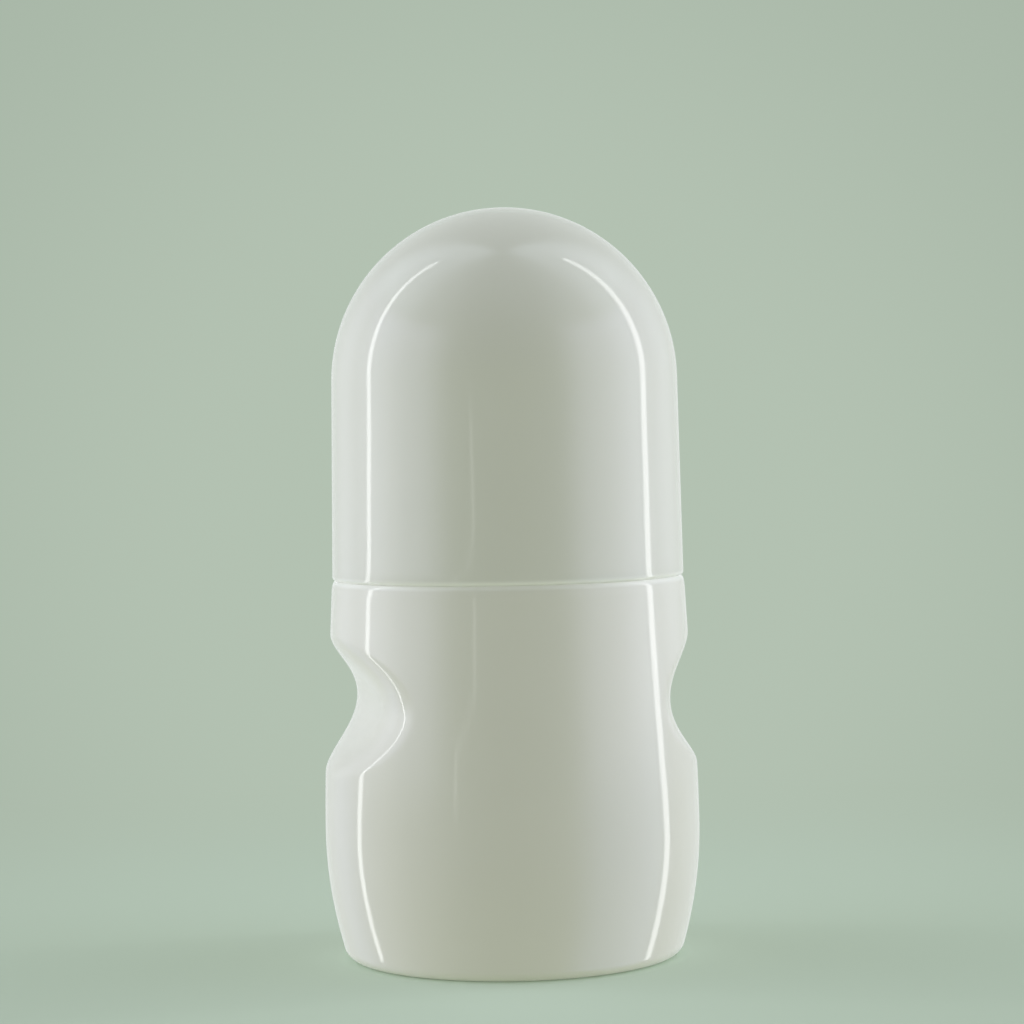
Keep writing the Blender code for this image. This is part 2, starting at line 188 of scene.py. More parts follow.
def shaped(points, shape):
    """The same points, each with the function that bends its row away from a circle."""
    return [(radius, height, shape) for radius, height in points]


def placed(name, data):
    """An object in the scene that shows the given mesh or camera."""
    obj = bpy.data.objects.new(name, data)
    bpy.context.scene.collection.objects.link(obj)
    return obj


def revolved(name, outline, segments):
    """A closed surface turned from an outline of (radius, height) points, some with a shape."""
    angles = np.arange(segments) * FULL_TURN / segments
    points, rows = [], []
    for radius, height, *shape in outline:
        if radius == 0:
            rows.append(np.array([len(points)]))
            points.append((0, 0, height))
            continue
        radii, heights = np.full(segments, radius), np.full(segments, height)
        if shape:
            radii, heights = shape[0](radius, height, angles)
        rows.append(np.arange(len(points), len(points) + segments))
        points.extend(zip(radii * np.cos(angles), radii * np.sin(angles), heights))
    faces = []
    closing = [] if outline[0][0] == 0 else [(rows[-1], rows[0])]
    for above, below in list(zip(rows, rows[1:])) + closing:
        if len(above) == 1 and len(below) == 1:
            continue
        if len(above) == 1:
            faces += [(above[0], a, b) for a, b in zip(below, np.roll(below, -1))]
        elif len(below) == 1:
            faces += [(a, below[0], b) for a, b in zip(above, np.roll(above, -1))]
        else:
            right_above, right_below = np.roll(above, -1), np.roll(below, -1)
            faces += list(zip(above, below, right_below, right_above))
    mesh = bpy.data.meshes.new(name)
    mesh.from_pydata(points, [], faces)
    mesh.shade_smooth()
    mesh.set_sharp_from_angle(angle=SHARP_ANGLE)
    return placed(name, mesh)


def hermite(start, end, start_slope, end_slope, share):
    """A cubic from start to end over a unit run, with its slope given at both ends."""
    square, cube = share**2, share**3
    return (
        start * (2 * cube - 3 * square + 1)
        + end * (3 * square - 2 * cube)
        + start_slope * (cube - 2 * square + share)
        + end_slope * (cube - square)
    )


FOOT_LEAN = math.atan(FOOT_LEAN_SHARE)
FOOT_TOP = FOOT_ROUND * (1 - math.sin(FOOT_LEAN))


def side_radius(height):
    """Radius of the bottle's side where no grip is cut."""
    if height >= BELLY_HEIGHT:
        run = SHOULDER_HEIGHT - BELLY_HEIGHT
        share = (height - BELLY_HEIGHT) / run
        return hermite(BELLY_RADIUS, SHOULDER_RADIUS, 0, -SHOULDER_LEAN_SHARE * run, share)
    run = BELLY_HEIGHT - FOOT_TOP
    share = (BELLY_HEIGHT - height) / run
    return hermite(BELLY_RADIUS, FOOT_RADIUS, 0, -FOOT_LEAN_SHARE * run, share)


def side(top, bottom, spacing):
    steps = max(1, round((top - bottom) / spacing))
    return [(side_radius(height), height) for height in np.linspace(top, bottom, steps + 1)]


def gripped_radii(radius, height, angles):
    """Radii of one row of the side, with the two grips blended in over a soft edge."""
    offset = height - GRIP_HEIGHT
    if abs(offset) >= GRIP_HALF_HEIGHT:
        return np.full(len(angles), radius)
    depth = GRIP_FLOOR_DISTANCE + GRIP_BOW * offset**2
    cut = depth / np.maximum(np.abs(np.cos(angles)), LEAST_COSINE)
    share = np.clip(1 - np.abs(radius - cut) / GRIP_EDGE_BLEND, 0, 1)
    return np.minimum(radius, cut) - share**2 * GRIP_EDGE_BLEND / 4


def gripped(radius, height, angles):
    return gripped_radii(radius, height, angles), np.full(len(angles), height)


def gripped_inside(radius, height, angles):
    return gripped_radii(radius, height, angles) - BOTTLE_WALL, np.full(len(angles), height)


def ridge(helix_low, low, high, height, angles):
    """How far the two ridges of a thread stand up along one row, from 0 to 1."""
    rise = np.zeros(len(angles))
    for start in range(THREAD_STARTS):
        phase = start / THREAD_STARTS
        turns = (height - helix_low) / THREAD_LEAD - angles / FULL_TURN + phase
        offset = (turns - np.round(turns)) * THREAD_LEAD
        middle = height - offset
        size = np.clip(np.minimum(middle - low, high - middle) / THREAD_RUNOUT, 0, 1)
        size = np.sin(size * QUARTER)
        across = np.abs(offset) / (THREAD_HALF_WIDTH * np.maximum(size, LEAST_RISE))
        rise = np.maximum(rise, size * np.clip(1 - across**2, 0, 1) ** THREAD_CREST_SHARE)
    return rise


def threaded_neck(radius, height, angles):
    rise = ridge(NECK_THREAD_LOW, NECK_THREAD_LOW, NECK_THREAD_HIGH, height, angles)
    return radius + (NECK_THREAD_CREST - NECK_RADIUS) * rise, np.full(len(angles), height)


def threaded_cap(radius, height, angles):
    rise = ridge(CAP_HELIX_LOW, CAP_THREAD_LOW, CAP_THREAD_HIGH, height, angles)
    return radius - (radius - CAP_THREAD_CREST) * rise, np.full(len(angles), height)


def bottle_outline():
    lip = (NECK_RADIUS - NECK_LIP_ROUND, NECK_TOP - NECK_LIP_ROUND)
    inner_lip = (NECK_BORE + INNER_EDGE_ROUND, NECK_TOP - INNER_EDGE_ROUND)
    shoulder = (SHOULDER_RADIUS - SHOULDER_ROUND, SHOULDER_HEIGHT - SHOULDER_ROUND)
    neck_foot = (NECK_RADIUS + NECK_FOOT_ROUND, SHOULDER_HEIGHT + NECK_FOOT_ROUND)
    foot = (FOOT_RADIUS - FOOT_ROUND * math.cos(FOOT_LEAN), FOOT_ROUND)
    ring_inside = foot[0] - FOOT_RING_WIDTH
    ceiling = SHOULDER_HEIGHT - BOTTLE_WALL
    inside_round = (SHOULDER_RADIUS - BOTTLE_WALL - SHOULDER_ROUND, ceiling - SHOULDER_ROUND)
    corner_height = FLOOR_HEIGHT + FOOT_ROUND
    corner = (side_radius(corner_height) - BOTTLE_WALL - FOOT_ROUND, corner_height)
    groove_radius = PLUG_RADIUS + SNAP_HEIGHT + TOUCH_GAP
    groove_half = SNAP_WIDTH / 2 + TOUCH_GAP
    crest_half = SNAP_CREST_WIDTH / 2 + TOUCH_GAP

    outline = arc(lip, NECK_LIP_ROUND, QUARTER, 0, 5)
    neck = line((NECK_RADIUS, lip[1]), (NECK_RADIUS, neck_foot[1]), THREAD_ROW)
    outline += shaped(neck[1:], threaded_neck)
    outline += arc(neck_foot, NECK_FOOT_ROUND, 2 * QUARTER, 3 * QUARTER, 5)[1:]
    outline += arc(shoulder, SHOULDER_ROUND, QUARTER, 0, 18)
    outline += shaped(side(shoulder[1], FOOT_TOP, SIDE_ROW)[1:], gripped)
    outline += arc(foot, FOOT_ROUND, -FOOT_LEAN, -QUARTER, 14)[1:]
    outline += line((foot[0], 0), (ring_inside, 0), MM)[1:]
    outline += [
        (ring_inside - PUSH_UP_HEIGHT / 2, PUSH_UP_HEIGHT / 2),
        (ring_inside - PUSH_UP_HEIGHT, PUSH_UP_HEIGHT),
        (ring_inside / 2, (PUSH_UP_HEIGHT + PUSH_UP_CREST) / 2),
        (GATE_RADIUS, PUSH_UP_CREST),
        (GATE_RADIUS - GATE_DEPTH, PUSH_UP_CREST + GATE_DEPTH),
        (0, PUSH_UP_CREST + GATE_DEPTH),
        (0, FLOOR_HEIGHT),
        (corner[0] / 2, FLOOR_HEIGHT),
    ]
    outline += arc(corner, FOOT_ROUND, -QUARTER, 0, 8)
    rising = side(inside_round[1], corner_height, INSIDE_ROW)[::-1]
    outline += shaped(rising[1:-1], gripped_inside)
    outline += arc(inside_round, SHOULDER_ROUND, 0, QUARTER, 6)
    outline += [
        (NECK_BORE, ceiling),
        (NECK_BORE, SNAP_Z - groove_half),
        (groove_radius, SNAP_Z - crest_half),
        (groove_radius, SNAP_Z + crest_half),
        (NECK_BORE, SNAP_Z + groove_half),
    ]
    outline += arc(inner_lip, INNER_EDGE_ROUND, 2 * QUARTER, QUARTER, 4)
    return outline


def shoulder_top(radius):
    """Height of the shoulder's rounded edge at a radius."""
    from_centre = radius - SHOULDER_RADIUS + SHOULDER_ROUND
    return SHOULDER_HEIGHT - SHOULDER_ROUND + leg(SHOULDER_ROUND, from_centre)


def cap_bore(height):
    share = (height - CAP_EDGE_HEIGHT) / CAP_SKIRT_HEIGHT
    return SKIRT_BORE + (DOME_BORE - SKIRT_BORE) * share


def liner_rim_height():
    return DOME_HEIGHT + leg(LINER_TOP_RADIUS, LINER_RADIUS) - LINER_RIM_THICKNESS


def cap_outline():
    draft = math.atan(CAP_DRAFT / CAP_SKIRT_HEIGHT)
    lip_radius = CAP_EDGE_RADIUS - CAP_LIP_INSET
    lip_height = shoulder_top(lip_radius) + CAP_LIP_GAP
    lip_angle = math.acos(1 - CAP_LIP_INSET / CAP_LIP_CURVE)
    edge = (CAP_EDGE_RADIUS - CAP_LIP_CURVE, lip_height + CAP_LIP_CURVE * math.sin(lip_angle))
    inner_edge = (SKIRT_BORE + INNER_EDGE_ROUND, CAP_EDGE_HEIGHT + INNER_EDGE_ROUND)
    ring_bore = LINER_RADIUS + TOUCH_GAP
    ring_radius = ring_bore + LINER_RING_WALL
    bead_top = liner_rim_height() - TOUCH_GAP
    bead_bottom = bead_top - LINER_BEAD_HEIGHT
    bead_bore = ring_bore - LINER_BEAD_WIDTH
    ring_angle = math.acos(ring_radius / DOME_BORE)
    crown_angle = math.acos(ring_bore / DOME_BORE)
    thread_top = CAP_THREAD_HIGH + THREAD_HALF_WIDTH
    dome = (0, DOME_HEIGHT)

    outline = arc(dome, DOME_RADIUS, QUARTER, draft, 72)
    outline[0] = (0, outline[0][1])
    outline += line(outline[-1], (edge[0] + CAP_LIP_CURVE, edge[1]), MM)[1:]
    outline += arc(edge, CAP_LIP_CURVE, 0, -lip_angle, 8)[1:]
    outline += [(lip_radius - CAP_LIP_WIDTH, lip_height + CAP_LIP_WIDTH)]
    outline += arc(inner_edge, INNER_EDGE_ROUND, -QUARTER, -2 * QUARTER, 5)
    rows = np.linspace(inner_edge[1], thread_top, round((thread_top - inner_edge[1]) / THREAD_ROW))
    outline += shaped([(cap_bore(z), z) for z in rows[1:]], threaded_cap)
    outline += line((cap_bore(thread_top), thread_top), (DOME_BORE, DOME_HEIGHT), 3 * MM)[1:]
    outline += arc(dome, DOME_BORE, 0, ring_angle, 28)[1:]
    outline += [
        (ring_radius, bead_bottom + SMALL_ROUND),
        (ring_radius - SMALL_ROUND, bead_bottom),
        (bead_bore + SMALL_ROUND, bead_bottom),
        (bead_bore, bead_bottom + SMALL_ROUND),
        (bead_bore, bead_top - SMALL_ROUND),
        (bead_bore + SMALL_ROUND, bead_top),
        (ring_bore, bead_top),
    ]
    outline += arc(dome, DOME_BORE, crown_angle, QUARTER, 10)
    outline[-1] = (0, outline[-1][1])
    return outline


def notched_edge(angles):
    """Radius of the housing's feed hole, widened by its round notches."""
    spacing = FULL_TURN / FEED_NOTCHES
    from_notch = (angles + spacing / 2) % spacing - spacing / 2
    across = np.clip(np.abs(from_notch) * FEED_RADIUS / FEED_NOTCH_RADIUS, 0, 1)
    return FEED_RADIUS + FEED_NOTCH_RADIUS * np.sqrt(1 - across**2)


def notched_arc(start, radius, share):
    """One row of an arc round the ball from an angle to the notched feed hole."""

    def shape(_, __, angles):
        end = -np.arccos(notched_edge(angles) / radius)
        turn = start + (end - start) * share
        return radius * np.cos(turn), BALL_HEIGHT + radius * np.sin(turn)

    return (radius, BALL_HEIGHT, shape)


def housing_outline():
    centre = (0, BALL_HEIGHT)
    lip_radius = HOUSING_WALL / 2
    lip_middle = SOCKET_RADIUS + lip_radius
    lip_angle = math.asin((RIM_RISE - lip_radius) / lip_middle)
    lip = (lip_middle * math.cos(lip_angle), BALL_HEIGHT + lip_middle * math.sin(lip_angle))
    plug_bore = PLUG_RADIUS - PLUG_WALL
    plug_end = FLANGE_HEIGHT - PLUG_LENGTH
    bowl_angle = -math.acos(plug_bore / HOUSING_RADIUS)
    collar_radius = HOUSING_RADIUS - COLLAR_STEP
    collar_top = BALL_HEIGHT - COLLAR_DROP
    collar_edge = (HOUSING_RADIUS, collar_top)
    flange_top = FLANGE_HEIGHT + FLANGE_THICKNESS
    upper = (HOUSING_RADIUS - SMALL_ROUND, flange_top - SMALL_ROUND)
    lower = (HOUSING_RADIUS - SMALL_ROUND, FLANGE_HEIGHT + SMALL_ROUND)

    outline = arc(lip, lip_radius, lip_angle + 2 * QUARTER, lip_angle, 12)
    outline += arc(centre, HOUSING_RADIUS, lip_angle, 0, 14)[1:]
    outline += line((HOUSING_RADIUS, BALL_HEIGHT), collar_edge, MM)[1:]
    outline += line(collar_edge, (collar_radius, collar_top - COLLAR_TAPER), MM)[1:]
    outline += line(outline[-1], (collar_radius, flange_top), MM)[1:]
    outline += arc(upper, SMALL_ROUND, QUARTER, 0, 4)
    outline += arc(lower, SMALL_ROUND, 0, -QUARTER, 4)
    outline += [
        (PLUG_RADIUS, FLANGE_HEIGHT),
        (PLUG_RADIUS, SNAP_Z + SNAP_WIDTH / 2),
        (PLUG_RADIUS + SNAP_HEIGHT, SNAP_Z + SNAP_CREST_WIDTH / 2),
        (PLUG_RADIUS + SNAP_HEIGHT, SNAP_Z - SNAP_CREST_WIDTH / 2),
        (PLUG_RADIUS, SNAP_Z - SNAP_WIDTH / 2),
        (PLUG_RADIUS, plug_end + PLUG_CHAMFER),
        (PLUG_RADIUS - PLUG_CHAMFER, plug_end),
        (plug_bore, plug_end),
    ]
    outward, inward = np.linspace(0, 1, 9), np.linspace(1, 0, 25)[:-1]
    outline += [notched_arc(bowl_angle, HOUSING_RADIUS, share) for share in outward]
    outline += [notched_arc(lip_angle, SOCKET_RADIUS, share) for share in inward]
    return outline


def liner_outline():
    pad_radius = LINER_RADIUS - LINER_RIM_WIDTH
    top_angle = math.acos(LINER_RADIUS / LINER_TOP_RADIUS)
    pad_angle = math.acos(pad_radius / SOCKET_RADIUS)
    rim = liner_rim_height()
    outline = arc((0, DOME_HEIGHT), LINER_TOP_RADIUS, QUARTER, top_angle, 10)
    outline[0] = (0, outline[0][1])
    outline += [
        (LINER_RADIUS, rim + SMALL_ROUND),
        (LINER_RADIUS - SMALL_ROUND, rim),
        (pad_radius, rim),
    ]
    outline += arc((0, BALL_HEIGHT), SOCKET_RADIUS, pad_angle, QUARTER, 12)
    outline[-1] = (0, outline[-1][1])
    return outline


def ball_outline():
    """The ball, with a faint round gate mark at each of its poles."""
    gate_angle = math.acos(BALL_GATE_RADIUS / BALL_RADIUS)
    flat = BALL_RADIUS * math.sin(gate_angle) - BALL_GATE_DEPTH
    flat_radius = BALL_GATE_RADIUS * BALL_GATE_FLOOR_SHARE
    outline = [(0, BALL_HEIGHT + flat), (flat_radius, BALL_HEIGHT + flat)]
    outline += arc((0, BALL_HEIGHT), BALL_RADIUS, gate_angle, -gate_angle, 96)
    outline += [(flat_radius, BALL_HEIGHT - flat), (0, BALL_HEIGHT - flat)]
    return outline


# Where a noise has its usual lowest and highest values, as a number and in a ramp of colours
NOISE_LOW = 0.2
NOISE_HIGH = 0.8
RAMP_LOW = 0.15
RAMP_HIGH = 0.85


class Nodes:
    """Short forms for building a node tree."""

    def __init__(self, tree):
        self.tree = tree

    def add(self, kind, **inputs):
        node = self.tree.nodes.new(kind)
        self.set(node, **inputs)
        return node

    def set(self, node, **inputs):
        for name, value in inputs.items():
            socket = node.inputs[name.replace("_", " ")]
            if isinstance(value, bpy.types.NodeSocket):
                self.tree.links.new(value, socket)
            else:
                socket.default_value = value
        return node

    def maths(self, operation, first, second=None):
        node = self.tree.nodes.new("ShaderNodeMath")
        node.operation = operation
        for socket, value in zip(node.inputs, (first, second)):
            if isinstance(value, bpy.types.NodeSocket):
                self.tree.links.new(value, socket)
            elif value is not None:
                socket.default_value = value
        return node.outputs[0]

    def vector(self, operation, first, second=None):
        node = self.tree.nodes.new("ShaderNodeVectorMath")
        node.operation = operation
        self.tree.links.new(first, node.inputs[0])
        if second is not None:
            node.inputs[1].default_value = second
        return node.outputs["Value" if operation in ("LENGTH", "DOT_PRODUCT") else "Vector"]

    def mix(self, share, first, second):
        """A mix of two shaders."""
        node = self.add("ShaderNodeMixShader", Fac=share)
        self.tree.links.new(first, node.inputs[1])
        self.tree.links.new(second, node.inputs[2])
        return node.outputs[0]

    def noise(self, place, scale, detail):
        node = self.add("ShaderNodeTexNoise", Vector=place, Scale=scale, Detail=detail)
        return node.outputs["Fac"]

    def spread(self, value, start, end, low=0.0, high=1.0, kind="LINEAR"):
        """A number that goes from low to high as the value goes from start to end."""
        node = self.add(
            "ShaderNodeMapRange", Value=value, From_Min=start, From_Max=end, To_Min=low, To_Max=high
        )
        node.interpolation_type = kind
        return node.outputs["Result"]

    def smooth(self, value, start, end, low=0.0):
        """The same, easing in and out on its way up to 1."""
        return self.spread(value, start, end, low, 1.0, "SMOOTHSTEP")

    def blend(self, share, first, second):
        """A mix of two colours, each of them a socket or three numbers."""
        node = self.tree.nodes.new("ShaderNodeMix")
        node.data_type = "RGBA"
        self.tree.links.new(share, node.inputs["Factor"])
        for socket, colour in zip((node.inputs[6], node.inputs[7]), (first, second)):
            if isinstance(colour, bpy.types.NodeSocket):
                self.tree.links.new(colour, socket)
            else:
                socket.default_value = (*colour, 1)
        return node.outputs[2]

    def colours(self, fac, low, high):
        """A colour from low to high as a noise goes from its usual lowest to highest value."""
        node = self.add("ShaderNodeValToRGB", Fac=fac)
        stops = (RAMP_LOW, low), (RAMP_HIGH, high)
        for element, (position, colour) in zip(node.color_ramp.elements, stops):
            element.position = position
            element.color = (*colour, 1)
        return node.outputs["Color"]


def cleared_nodes(owner):
    """The empty node tree of a material or world."""
    owner.use_nodes = True
    owner.node_tree.nodes.clear()
    return Nodes(owner.node_tree)


# A band of painted light round the seam: a paler ring, painted by height on the bottle and the cap,
# stands in for the light line that the seam shows. Its height, half of its full part, half of its
# whole, and its colour
PAINTED_SEAM_LIGHT_HEIGHT = 0.0455
PAINTED_SEAM_LIGHT_FULL = 0.0002
PAINTED_SEAM_LIGHT_END = 0.0007
PAINTED_SEAM_LIGHT_COLOUR = (0.95, 0.95, 0.88)

# Each noise of the plastics: how fine it is and how many levels of detail it has
MOTTLE_NOISE = (95.0, 3.0)
GLOSS_NOISE = (260.0, 4.0)
WAVE_NOISE = (75.0, 1.5)
GRAIN_NOISE = (1400.0, 3.0)
MOTTLE = 0.012
GLOSS_LOW_SHARE = 0.85
GLOSS_HIGH_SHARE = 1.2
PLASTIC_IOR = 1.5


def bump(nodes, place, noise, depth, **inputs):
    height = nodes.noise(place, *noise)
    node = nodes.add("ShaderNodeBump", Height=height, Strength=1.0, Distance=depth, **inputs)
    return node.outputs["Normal"]


def moulded_plastic(
    name, colour, roughness, wave_depth, grain_depth, mottle=MOTTLE, painted_seam_light=False
):
    """A moulded plastic: its colour and gloss mottled slightly, with long waves and a fine grain."""
    material = bpy.data.materials.new(name)
    material.use_nodes = True
    nodes = Nodes(material.node_tree)
    shader = material.node_tree.nodes["Principled BSDF"]
    place = nodes.add("ShaderNodeTexCoord").outputs["Object"]
    mottling = nodes.noise(place, *MOTTLE_NOISE)
    darker = tuple(channel * (1 - mottle) for channel in colour)
    lighter = tuple(min(1, channel * (1 + mottle)) for channel in colour)
    shader_colour = nodes.colours(mottling, darker, lighter)
    # Painted light: a paler band round the seam, mixed into the colour by height
    if painted_seam_light:
        height = nodes.add("ShaderNodeSeparateXYZ", Vector=place).outputs["Z"]
        offset = nodes.maths("ABSOLUTE", nodes.maths("SUBTRACT", height, PAINTED_SEAM_LIGHT_HEIGHT))
        share = nodes.smooth(offset, PAINTED_SEAM_LIGHT_END, PAINTED_SEAM_LIGHT_FULL)
        shader_colour = nodes.blend(share, shader_colour, PAINTED_SEAM_LIGHT_COLOUR)
    gloss = nodes.spread(
        nodes.noise(place, *GLOSS_NOISE),
        NOISE_LOW,
        NOISE_HIGH,
        roughness * GLOSS_LOW_SHARE,
        roughness * GLOSS_HIGH_SHARE,
    )
    waves = bump(nodes, place, WAVE_NOISE, wave_depth)
    grain = bump(nodes, place, GRAIN_NOISE, grain_depth, Normal=waves)
    nodes.set(shader, Base_Color=shader_colour, Roughness=gloss, Normal=grain, IOR=PLASTIC_IOR)
    return material


def dress(piece, material, body, node):
    piece.data.materials.append(material)
    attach(piece, body)
    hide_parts(node)


# Colour, roughness, depth of the waves and depth of the grain of each plastic
BOTTLE_LOOK = (0.832, 0.820, 0.738), 0.075, 0.000040, 0.0000012
CAP_LOOK = (0.784, 0.782, 0.701), 0.070, 0.000028, 0.0000010
HOUSING_LOOK = (0.745, 0.745, 0.675), 0.32, 0.000012, 0.000004
BALL_LOOK = (0.80, 0.80, 0.725), 0.11, 0.000006, 0.0000008
LINER_LOOK = (0.68, 0.69, 0.64), 0.55, 0.000030, 0.000030
LINER_MOTTLE = 0.03

bottle_skin = moulded_plastic("bottle_gloss", *BOTTLE_LOOK, painted_seam_light=True)
cap_skin = moulded_plastic("cap_gloss", *CAP_LOOK, painted_seam_light=True)
housing_skin = moulded_plastic("housing_satin", *HOUSING_LOOK)
ball_skin = moulded_plastic("ball_polished", *BALL_LOOK)
liner_skin = moulded_plastic("liner_foam", *LINER_LOOK, mottle=LINER_MOTTLE)

bottle = revolved("bottle_shell", bottle_outline(), BOTTLE_SEGMENTS)
cap = revolved("cap_shell", cap_outline(), CAP_SEGMENTS)
housing = revolved("housing_ring", housing_outline(), HOUSING_SEGMENTS)
ball = revolved("rolling_ball", ball_outline(), BALL_SEGMENTS)
liner = revolved("liner_pad", liner_outline(), LINER_SEGMENTS)

dress(bottle, bottle_skin, "bottle_body", "bottle")
dress(housing, housing_skin, "bottle_body", "ball_housing")
dress(ball, ball_skin, "ball_body", "roller_ball")
dress(liner, liner_skin, "liner_body", "cap_liner")
dress(cap, cap_skin, "cap_body", "cap")

# Camera, at the photograph's viewing angle
IMAGE_WIDTH = 1024
SENSOR_WIDTH = 36.0
FOCAL_PIXELS = 3053.0
CAMERA_DISTANCE = 0.3673
CAMERA_HEIGHT = 0.06375
CAMERA_AZIMUTH = math.radians(-12.45)
CAMERA_PITCH = math.radians(1.629)
CAMERA_ROLL = math.radians(1.079)
CAMERA_SIDESTEP = 0.000635
CLIP_START = 0.01
CLIP_END = 100


def turned_to_camera(x, y, z):
    """A vector whose x is to the camera's right and y away from it, in the row frame."""
    c, s = math.cos(CAMERA_AZIMUTH), math.sin(CAMERA_AZIMUTH)
    return Vector((x * c - y * s, x * s + y * c, z))


def camera_back():
    """The unit vector that points out of the photograph, towards its camera."""
    return turned_to_camera(0, -math.cos(CAMERA_PITCH), math.sin(CAMERA_PITCH))


def add_camera():
    right = turned_to_camera(1, 0, 0)
    up = turned_to_camera(0, math.sin(CAMERA_PITCH), math.cos(CAMERA_PITCH))
    back = camera_back()
    rolled_right = right * math.cos(CAMERA_ROLL) - up * math.sin(CAMERA_ROLL)
    rolled_up = right * math.sin(CAMERA_ROLL) + up * math.cos(CAMERA_ROLL)
    data = bpy.data.cameras.new("camera")
    data.sensor_width = SENSOR_WIDTH
    data.lens = FOCAL_PIXELS * SENSOR_WIDTH / IMAGE_WIDTH
    data.clip_start = CLIP_START
    data.clip_end = CLIP_END
    camera = placed("camera", data)
    axes = Matrix((rolled_right, rolled_up, back)).transposed().to_4x4()
    place = turned_to_camera(0, -CAMERA_DISTANCE, CAMERA_HEIGHT) + right * CAMERA_SIDESTEP
    camera.matrix_world = Matrix.Translation(place) @ axes
    bpy.context.scene.camera = camera


add_camera()

# Studio: a pale floor that runs into the backdrop, four broad soft panels of light on each side, a
# narrow strip on each side and one faint glint in front. The backdrop gets a little darker away from
# the photograph's line of sight, which is fixed in the world. Rays that the object mirrors don't see
# the backdrop but a paler surround, MIRRORED.
BACKDROP = (0.452, 0.537, 0.444)
BACKDROP_EDGE = (0.395, 0.475, 0.390)
BACKDROP_EDGE_START = math.radians(5.0)
BACKDROP_EDGE_END = math.radians(15.0)
AMBIENT = (0.08, 0.09, 0.0)
MIRRORED = (0.80, 0.857, 0.826)
FLOOR_GLOW = (0.51, 0.565, 0.45)
FLOOR_RADIUS = 3.0
FLOOR_SIDES = 64
FLOOR_COLOUR = (0.68, 0.81, 0.67)
FLOOR_LIT_SHARE = 0.5
FLOOR_FADE_START = 0.05
FLOOR_FADE_END = 0.18
CONTACT_START = 0.0184
CONTACT_END = 0.0216
PANEL_DISTANCE = 0.60
STRIP_DISTANCE = 0.55
LIGHT_COLUMNS = 36
LIGHT_ROWS = 36
STRIP_LEFT_STRENGTH = 4.3
STRIP_RIGHT_STRENGTH = 3.7
STRIP_COLOUR = (1.0, 1.0, 1.0)
STRIP_LEFT_HALF_WIDTH = 2.0
STRIP_RIGHT_HALF_WIDTH = 2.8
GLINT_STRENGTH = 1.7
GLINT_HALF_WIDTH = 1.4
GLINT_LEVELS = (0, 1, 0)
GLINT_END_FADE = 0.2

# Middle line of each narrow light: (height, angle from the camera's side to its right) in degrees
STRIP_LEFT = (
    (-27, -106.4), (-5, -105.5), (3, -100.5), (8, -98.8), (25, -100), (45, -103), (64.5, -106.5)
)
STRIP_RIGHT = (
    (-30, 107.3), (-5, 107), (1, 102.8), (8, 102.5), (30, 103.7), (45, 105.2), (65.5, 107)
)
GLINT = ((-4, -34), (2, -33), (5, -21), (10, -22))

# Each panel on both sides: lowest and highest edge in degrees, the levels at even steps from the
# camera's side of the object to PANEL_REACH degrees round it, strength, colour, and the share over
# which it fades at its lowest and highest edge
PANEL_REACH = 150
FRONT_PANEL = (-5, 42, (0, 1, 0, 0, 0, 0), 0.60, (1.12, 1.0, 0.0), 0.2)
MAIN_PANEL = (-5, 42, (0, 0, 0.75, 1, 0.33, 0), 1.78, (1.0, 1.0, 1.29), 0.2)
HIGH_PANEL = (32, 92, (0, 0, 0.30, 1, 1.05, 0), 1.18, (0.92, 1.0, 1.14), 0.2)
LOW_RIGHT_PANEL = (-60, 5, (0, 0, 1, 1, 0, 0), 0.62, (0.84, 1.0, 1.8), 0.15)
LOW_LEFT_PANEL = (-60, 5, (0, 0, 0, 0.4, 1, 0), 0.25, (1.0, 1.0, 2.0), 0.15)


def eased(levels, share):
    """The level at a share of the way across, eased between evenly spaced levels."""
    place = share * (len(levels) - 1)
    step = min(int(place), len(levels) - 2)
    turn = (1 - math.cos(math.pi * (place - step))) / 2
    return levels[step] + (levels[step + 1] - levels[step]) * turn


def panel(name, turn, low, high, levels, strength, colour, end_fade):
    """A broad soft light on one side: turn is 1 to the camera's right and -1 to its left."""
    middle = turn * PANEL_REACH / 2
    levels = levels if turn > 0 else levels[::-1]
    edges = ((low, middle), (high, middle))
    light_sheet(name, edges, PANEL_REACH / 2, PANEL_DISTANCE, levels, strength, colour, end_fade)


def strip(name, middle_line, half_width, strength, levels=(1, 1), end_fade=0):
    look = levels, strength, STRIP_COLOUR, end_fade
    light_sheet(name, middle_line, half_width, STRIP_DISTANCE, *look)


